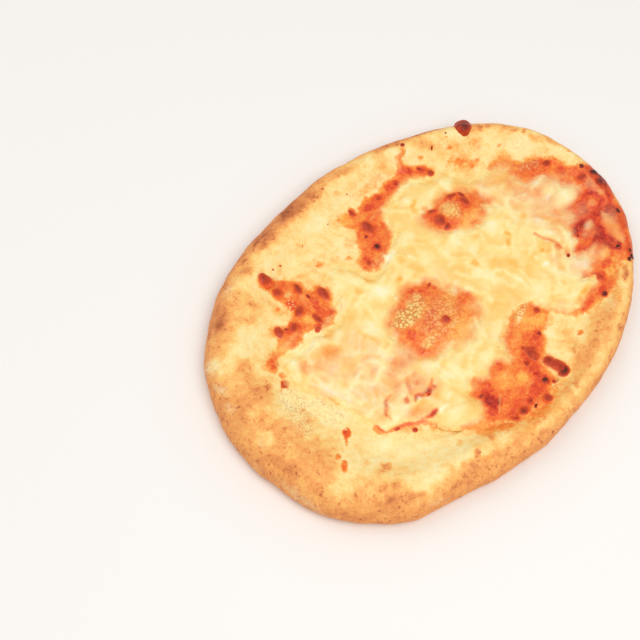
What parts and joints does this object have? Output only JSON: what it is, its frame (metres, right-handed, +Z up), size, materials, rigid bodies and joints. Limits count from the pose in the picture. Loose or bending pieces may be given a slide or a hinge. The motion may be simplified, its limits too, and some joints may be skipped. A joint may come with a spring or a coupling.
{
  "type": "pizza",
  "caption": "Oval baked pizza with a puffy browned rim, tomato sauce and melted mozzarella with browned bits, uncut.",
  "frame": {"origin": "on the flat sole, under the middle of the pizza's outline", "axes": "+X along the oval's long axis towards the end with the narrow, saucy rim; +Z up through the toppings"},
  "size_m": [0.2948, 0.2132, 0.0229],
  "materials": {
    "baked_dough": "matt baked crust, golden with brown spots and pale valleys",
    "tomato_sauce": "wet, oily",
    "mozzarella": "soft satin, slightly oily",
    "browned_bits": "glossy, roasted"
  },
  "bodies": {
    "root": {"dough_base": "baked_dough", "tomato_sauce": "tomato_sauce", "melted_mozzarella": "mozzarella", "browned_nub_01": "browned_bits", "browned_nub_02": "browned_bits", "browned_nub_03": "browned_bits", "browned_nub_04": "browned_bits", "browned_nub_05": "browned_bits", "browned_nub_06": "browned_bits", "browned_nub_07": "browned_bits", "browned_nub_08": "browned_bits", "browned_nub_09": "browned_bits", "browned_nub_10": "browned_bits", "browned_nub_11": "browned_bits", "browned_nub_12": "browned_bits", "browned_nub_13": "browned_bits", "browned_nub_14": "browned_bits", "browned_nub_15": "browned_bits", "browned_nub_16": "browned_bits", "browned_nub_17": "browned_bits", "browned_nub_18": "browned_bits", "browned_nub_19": "browned_bits", "browned_nub_20": "browned_bits", "browned_nub_21": "browned_bits", "browned_nub_22": "browned_bits", "browned_nub_23": "browned_bits", "browned_nub_24": "browned_bits", "browned_nub_25": "browned_bits", "browned_nub_26": "browned_bits", "browned_nub_27": "browned_bits", "cheese_lump_01": "mozzarella", "cheese_lump_02": "mozzarella", "cheese_lump_03": "mozzarella", "cheese_lump_04": "mozzarella", "cheese_lump_05": "mozzarella", "cheese_lump_06": "mozzarella", "cheese_lump_07": "mozzarella", "cheese_lump_08": "mozzarella", "cheese_lump_09": "mozzarella"}
  },
  "joints": []
}
